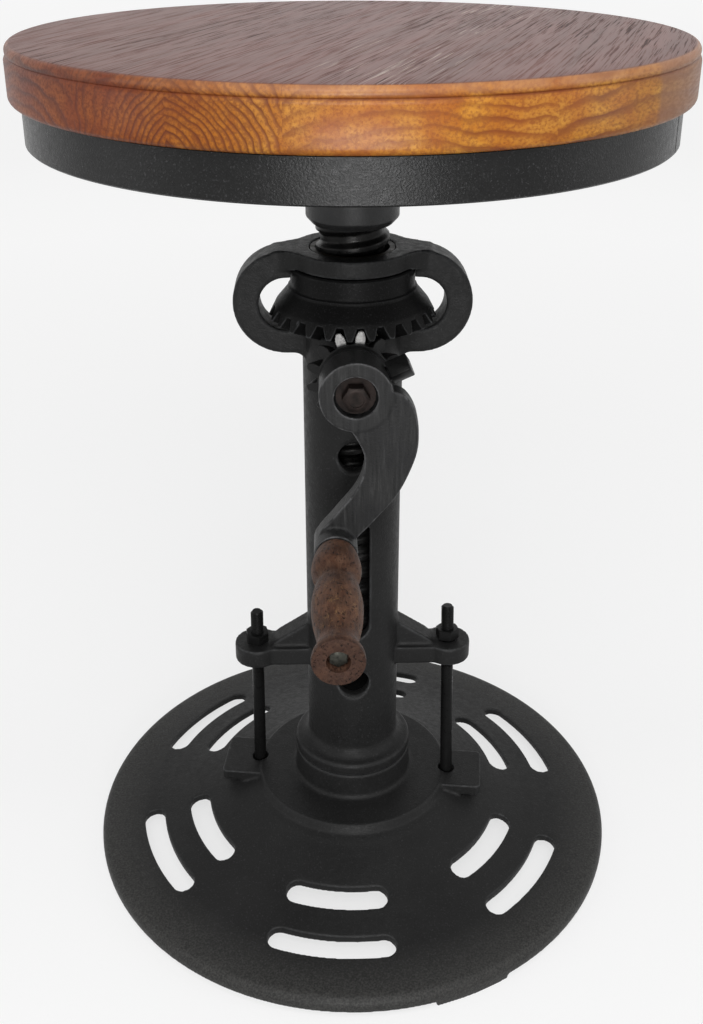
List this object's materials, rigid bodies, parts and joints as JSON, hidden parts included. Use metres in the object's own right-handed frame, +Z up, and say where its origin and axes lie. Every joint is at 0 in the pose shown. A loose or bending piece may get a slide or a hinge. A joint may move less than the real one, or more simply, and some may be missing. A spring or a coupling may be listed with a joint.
{
  "type": "crank-adjustable stool",
  "caption": "Low industrial stool: round wooden seat on a lift screw, raised by a crank and bevel gears on a cast column with a slotted dome base.",
  "frame": {"origin": "on the column's axis, at the floor", "axes": "+Z up along the column, -Y towards the crank's grip, +X to the right seen from the crank"},
  "size_m": [0.35, 0.3558, 0.5125],
  "materials": {
    "cast_iron": "black powder coat, fine grain",
    "black_steel": "satin black",
    "screw_steel": "oiled dark steel",
    "bright_steel": "plain steel",
    "rusty_steel": "browned, slightly rusty",
    "bronze": "plain turned",
    "seat_wood": "brown stain, satin varnish",
    "grip_wood": "dark stain, satin varnish"
  },
  "bodies": {
    "stand": {"base_dome": "cast_iron", "column_casting": "cast_iron", "tie_rod_left": "black_steel", "tie_rod_right": "black_steel", "rod_nut_left": "black_steel", "rod_nut_right": "black_steel", "thrust_washer": "bright_steel", "screw_bush": "bronze", "guide_key": "black_steel", "axle_bolt": "rusty_steel", "axle_washer": "rusty_steel"},
    "seat": {"lift_screw": "screw_steel", "seat_collar": "black_steel", "seat_plate": "black_steel", "seat_hoop": "black_steel", "seat_top": "seat_wood", "seat_screw_1": "black_steel", "seat_screw_2": "black_steel", "seat_screw_3": "black_steel", "seat_screw_4": "black_steel", "seat_screw_5": "black_steel", "seat_screw_6": "black_steel"},
    "gear": {"bevel_gear": "black_steel"},
    "crank": {"bevel_pinion": "black_steel", "crank_arm": "cast_iron", "crank_set_screw": "black_steel", "grip_bolt": "bright_steel", "grip_nut": "black_steel"},
    "grip": {"wooden_grip": "grip_wood"}
  },
  "joints": [
    {"name": "seat_lift", "type": "slide", "parent": "stand", "child": "seat", "axis": [0, 0, 1], "range_m": [0, 0.13]},
    {"name": "gear_turn", "type": "hinge", "parent": "stand", "child": "gear", "pos_m": [0, 0, 0.339], "axis": [0, 0, 1], "range_deg": [-3910, 10]},
    {"name": "crank_turn", "type": "hinge", "parent": "stand", "child": "crank", "pos_m": [0, -0.06, 0.339], "axis": [0, 1, 0], "range_deg": [-7515, 15]},
    {"name": "grip_spin", "type": "hinge", "parent": "crank", "child": "grip", "pos_m": [-0.011, -0.12, 0.25], "axis": [0, 1, 0], "continuous": true}
  ],
  "couplings": [
    {"joint": "gear_turn", "follows": "seat_lift", "rad_per_m": -523.6},
    {"joint": "crank_turn", "follows": "seat_lift", "rad_per_m": -1006.9}
  ]
}
